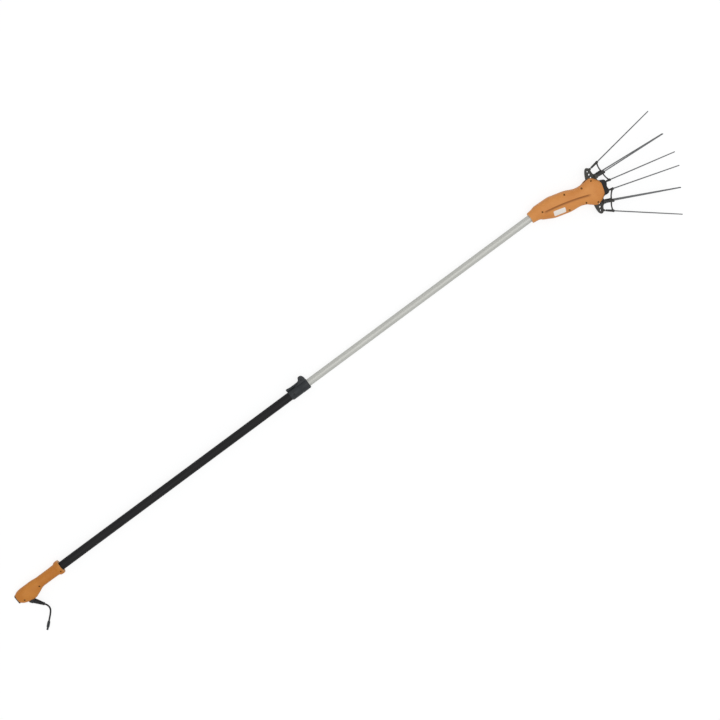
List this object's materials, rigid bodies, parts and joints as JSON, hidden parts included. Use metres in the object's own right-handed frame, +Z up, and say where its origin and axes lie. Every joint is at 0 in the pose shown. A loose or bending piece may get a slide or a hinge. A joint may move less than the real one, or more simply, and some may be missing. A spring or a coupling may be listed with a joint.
{
  "type": "olive harvester",
  "caption": "Electric olive harvester: telescopic pole with a switched rear handle, power lead, clamp lever and a geared head that swings a pair of combs of carbon rods.",
  "frame": {"origin": "on the pole axis in the mouth of the handle", "axes": "+X along the pole toward the head, +Z up out of the flat of the head, +Y to the clamp lever's side"},
  "size_m": [3.1805, 0.4279, 0.07],
  "materials": {
    "orange_shell": "moulded, slightly glossy",
    "black_plastic": "moulded, matte",
    "black_tube": "black coated",
    "bright_tube": "drawn, satin",
    "steel": "ground",
    "zinc_screw": "blackened",
    "cast_alloy": "die cast",
    "bronze": "sintered",
    "black_rubber": "matte",
    "carbon": "drawn carbon rod",
    "grey_plastic": "moulded"
  },
  "bodies": {
    "pole": {"handle_shell_top": "orange_shell", "handle_shell_bottom": "orange_shell", "handle_screws": "zinc_screw", "switch_frame": "black_plastic", "strain_relief": "black_rubber", "power_lead": "black_rubber", "lead_plug": "black_plastic", "outer_tube": "black_tube", "clamp_collar": "black_plastic", "clamp_pad": "grey_plastic", "lever_pin": "steel", "wiper_ring": "grey_plastic", "collar_screws": "zinc_screw", "pole_lead": "black_rubber"},
    "rocker": {"switch_rocker": "black_plastic"},
    "lever": {"clamp_lever": "black_plastic"},
    "head": {"inner_tube": "bright_tube", "guide_bush": "grey_plastic", "head_shell_top": "orange_shell", "head_shell_bottom": "orange_shell", "head_boss_set": "orange_shell", "head_screws": "zinc_screw", "motor": "steel", "motor_pads": "black_rubber", "gear_case": "cast_alloy", "shaft_bearings": "steel", "gear_frame": "cast_alloy", "pivot_pins": "steel"},
    "rotor": {"motor_shaft": "steel", "sun_gear": "steel"},
    "drive": {"planet_carrier": "steel", "drive_shaft": "steel", "eccentric_roller": "steel"},
    "planet_a": {"planet_gear_a": "steel"},
    "planet_b": {"planet_gear_b": "steel"},
    "planet_c": {"planet_gear_c": "steel"},
    "upper_comb": {"upper_arm": "black_plastic", "upper_bush": "bronze", "upper_outer_rod": "carbon", "upper_paired_rods": "carbon", "upper_inner_rod": "carbon", "upper_strap": "black_rubber"},
    "lower_comb": {"lower_arm": "black_plastic", "lower_bush": "bronze", "lower_outer_rod": "carbon", "lower_paired_rods": "carbon", "lower_inner_rod": "carbon", "lower_strap": "black_rubber"}
  },
  "joints": [
    {"name": "tube_slide", "type": "slide", "parent": "pole", "child": "head", "axis": [1, 0, 0], "range_m": [-0.9, 0], "deforming": ["pole_lead"]},
    {"name": "lever_flip", "type": "hinge", "parent": "pole", "child": "lever", "pos_m": [1.214, 0.03, 0], "axis": [0, 0, -1], "range_deg": [0, 110]},
    {"name": "rocker_press", "type": "hinge", "parent": "pole", "child": "rocker", "pos_m": [-0.21, -0.00301, 0], "axis": [0, 0, 1], "range_deg": [-14, 0]},
    {"name": "drive_turn", "type": "hinge", "parent": "head", "child": "drive", "pos_m": [2.52026, -0.04249, 0], "axis": [0.9641, -0.2656, 0], "range_deg": [0, 180]},
    {"name": "rotor_turn", "type": "hinge", "parent": "head", "child": "rotor", "pos_m": [2.49133, -0.03452, 0], "axis": [0.9641, -0.2656, 0], "range_deg": [-0.5, 900.5]},
    {"name": "planet_a_turn", "type": "hinge", "parent": "drive", "child": "planet_a", "pos_m": [2.50579, -0.03851, -0.012], "axis": [0.9641, -0.2656, 0], "range_deg": [-480.5, 0.5]},
    {"name": "planet_b_turn", "type": "hinge", "parent": "drive", "child": "planet_b", "pos_m": [2.50855, -0.02849, 0.006], "axis": [0.9641, -0.2656, 0], "range_deg": [-480.5, 0.5]},
    {"name": "planet_c_turn", "type": "hinge", "parent": "drive", "child": "planet_c", "pos_m": [2.50303, -0.04852, 0.006], "axis": [0.9641, -0.2656, 0], "range_deg": [-480.5, 0.5]},
    {"name": "upper_comb_swing", "type": "hinge", "parent": "head", "child": "upper_comb", "pos_m": [2.6013, -0.04199, 0], "axis": [0, 0, 1], "range_deg": [-0.05, 12.05]},
    {"name": "lower_comb_swing", "type": "hinge", "parent": "head", "child": "lower_comb", "pos_m": [2.58961, -0.08441, 0], "axis": [0, 0, -1], "range_deg": [-0.05, 12.05]}
  ],
  "couplings": [
    {"joint": "rotor_turn", "follows": "drive_turn", "ratio": 5},
    {"joint": "planet_a_turn", "follows": "drive_turn", "ratio": -2.6667},
    {"joint": "planet_b_turn", "follows": "drive_turn", "ratio": -2.6667},
    {"joint": "planet_c_turn", "follows": "drive_turn", "ratio": -2.6667},
    {"joint": "upper_comb_swing", "follows": "drive_turn", "ratio": 0.066667},
    {"joint": "lower_comb_swing", "follows": "drive_turn", "ratio": 0.066667}
  ]
}
